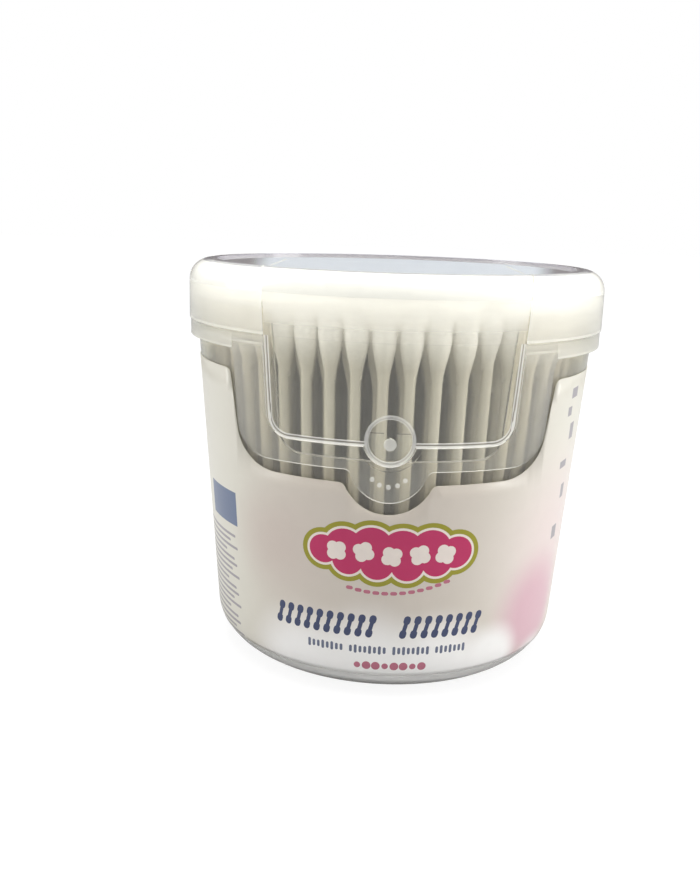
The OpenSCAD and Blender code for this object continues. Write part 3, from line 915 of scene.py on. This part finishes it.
def milky(name, levels):
    """Milky plastic, more or less dense by height, that lets some blurred light through from inside. How
    dense it is by height carries painted light.
    """
    made, shader = grained(name, lit_milk_colour, 0.85, 180, spread=0.04, bump=0.02)
    shader.inputs["Transmission Weight"].default_value = lit_milk_pass
    shader.inputs["IOR"].default_value = lit_milk_ior
    nodes, links = made.node_tree.nodes, made.node_tree.links
    place = nodes.new("ShaderNodeTexCoord")
    axes = nodes.new("ShaderNodeSeparateXYZ")
    rise = nodes.new("ShaderNodeMapRange")
    lowest, highest = levels[0][0], levels[-1][0]
    rise.inputs["From Min"].default_value = lowest * MM
    rise.inputs["From Max"].default_value = highest * MM
    stops = [((z - lowest) / (highest - lowest), (share, share, share, 1)) for z, share in levels]
    milk_light_ramp = ramp_of(nodes, stops)
    links.new(place.outputs["Object"], axes.inputs[0])
    links.new(axes.outputs["Z"], rise.inputs["Value"])
    links.new(rise.outputs[0], milk_light_ramp.inputs["Fac"])
    links.new(milk_light_ramp.outputs["Color"], shader.inputs["Alpha"])
    return made


def lit_milk_sheet(node, body, levels, apron_milk_and_light=()):
    """A sheet of milk just under the outer skin of the skirt and the shoulder; its milk is partly painted
    light. levels are (height in mm, how dense the milk is), and the apron may have its own."""
    work = bmesh.new()
    corners = {}
    for face in node.data.polygons:
        near, far, low, high = reach_of(node.data, face)
        outward = Vector((face.center.x, face.center.y, 0)).normalized()
        if near < cap_side - slack or face.normal.dot(outward) < skin_facing or high < skirt_low + proud:
            continue
        loop = []
        for i in face.vertices:
            c = node.data.vertices[i].co
            key = tuple(round(v * 1e7) for v in c)
            if key not in corners:
                drawn_in = Vector((c.x, c.y, 0)) * (1 - lit_milk_depth / cap_side)
                corners[key] = work.verts.new(drawn_in + Vector((0, 0, c.z)))
            loop.append(corners[key])
        if len(set(loop)) == len(loop):
            made_face = work.faces.new(loop)
            if apron_milk_and_light and abs(face.center.x) < apron_half * MM and face.center.y < 0:
                made_face.material_index = 1
    mesh = bpy.data.meshes.new(node.name + "_bloom")
    work.to_mesh(mesh)
    work.free()
    for name, heights in ((node.name + "_bloom", levels), (node.name + "_bloom_front", apron_milk_and_light)):
        if heights:
            mesh.materials.append(milky(name, heights))
    sheet = bpy.data.objects.new(mesh.name, mesh)
    bpy.context.scene.collection.objects.link(sheet)
    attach(sheet, body)


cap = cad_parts["cap"]
cap.data.materials.clear()
for plastic in cap_plastics:
    cap.data.materials.append(plastic)
for face in cap.data.polygons:
    face.material_index = cap_zone(cap.data, face)
# Painted light in the cap's sheet: the milk rises towards the shoulder, where light from above falls, and
# the narrow dense bands at the skirt's lower edge and just above the step are painted highlights.
step_glint_and_rise = ((74.3, 0.2), (74.45, 0.2), (74.55, 0.95), (74.95, 0.95), (75.1, 0.5), (76.5, 0.62), (79.0, 0.86),
           (82.5, 0.98))
skirt_milk_and_light = ((70.9, 0.0), (71.05, 0.8), (71.35, 0.8), (71.55, 0.6), (73.9, 0.5), *step_glint_and_rise)
apron_milk_and_light = ((70.0, 0.0), (71.5, 0.18), (73.9, 0.42), *step_glint_and_rise)
lit_milk_sheet(cap, "cap_body", skirt_milk_and_light, apron_milk_and_light)

# The flap is moulded with the cap, in the same plastic. It closes the window and locks with its round tab.
# It is a CAD node, with a raised bead round its edge and round the tab. Towards the shoulder its colour
# turns paler: painted light, where light from above falls.
top_light_from = 74.5
top_light_full = 78.0

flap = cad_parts["flap"]
flap.data.materials.clear()
flap_clear = moulded("flap_clear", door_colour, cap_clear, cap_shade, aslant=cap_aslant)
nodes, links = flap_clear.node_tree.nodes, flap_clear.node_tree.links
# Painted light: the flap's colour pales towards the shoulder.
place = nodes.new("ShaderNodeTexCoord")
axes = nodes.new("ShaderNodeSeparateXYZ")
rise = nodes.new("ShaderNodeMapRange")
rise.inputs["From Min"].default_value = top_light_from * MM
rise.inputs["From Max"].default_value = top_light_full * MM
painted_lighter = nodes.new("ShaderNodeMix")
painted_lighter.data_type = "RGBA"
painted_lighter.inputs["B"].default_value = (*cap_colour, 1)
links.new(nodes["grain"].inputs["Colour"].links[0].from_socket, painted_lighter.inputs["A"])
links.new(place.outputs["Object"], axes.inputs[0])
links.new(axes.outputs["Z"], rise.inputs["Value"])
links.new(rise.outputs[0], painted_lighter.inputs["Factor"])
links.new(painted_lighter.outputs["Result"], nodes["grain"].inputs["Colour"])
for plastic in [flap_clear] + cap_plastics[1:]:
    flap.data.materials.append(plastic)
for face in flap.data.polygons:
    face.material_index = cap_zone(flap.data, face)
mark_crown(flap.data)
# Painted light in the flap's sheet: its milk rises towards the shoulder, where light from above falls.
door_milk_and_light = ((75.0, 0.0), (76.0, 0.08), (77.0, 0.28), (78.0, 0.52), (79.0, 0.76), (80.2, 0.93),
               (82.5, 0.99))
lit_milk_sheet(flap, "flap_body", door_milk_and_light)

# The living hinge is the thin web that the cap and the flap were moulded with, across the middle of the top.
# It is one straight strip in the hinge's gap; the real web bends when the flap swings up.
web_half = 25.2
web_thick = 0.2
web_top = recess_floor - slack
flap_edge_y = 7.7
cap_edge_y = 8.0
web_lap = 0.12
web_rows = 8
web_columns = 12

across = web_columns + 1
work = bmesh.new()
rows = []
for j in range(web_rows + 1):
    y = flap_edge_y - web_lap + (cap_edge_y - flap_edge_y + 2 * web_lap) * j / web_rows
    thick = web_thick * (0.7 + 0.3 * abs(2 * j / web_rows - 1))
    row = [work.verts.new(Vector((x, y, z)) * MM)
           for z in (web_top - thick, web_top)
           for x in (-web_half + 2 * web_half / web_columns * i for i in range(across))]
    rows.append(row)
for row, ahead in zip(rows, rows[1:]):
    for i in range(web_columns):
        k = across + i
        work.faces.new((row[i], ahead[i], ahead[i + 1], row[i + 1]))
        work.faces.new((row[k], row[k + 1], ahead[k + 1], ahead[k]))
    work.faces.new((row[0], row[across], ahead[across], ahead[0]))
    work.faces.new((row[web_columns], ahead[web_columns], ahead[-1], row[-1]))
for row in (rows[0], rows[-1]):
    for i in range(web_columns):
        work.faces.new((row[i], row[i + 1], row[across + i + 1], row[across + i]))
bmesh.ops.recalc_face_normals(work, faces=work.faces)
web_mesh = bpy.data.meshes.new("hinge_web")
work.to_mesh(web_mesh)
work.free()
web_mesh.materials.append(moulded("web_plastic", cap_colour, 0.5, cap_shade))
web = bpy.data.objects.new("hinge_web", web_mesh)
bpy.context.scene.collection.objects.link(web)
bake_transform(web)
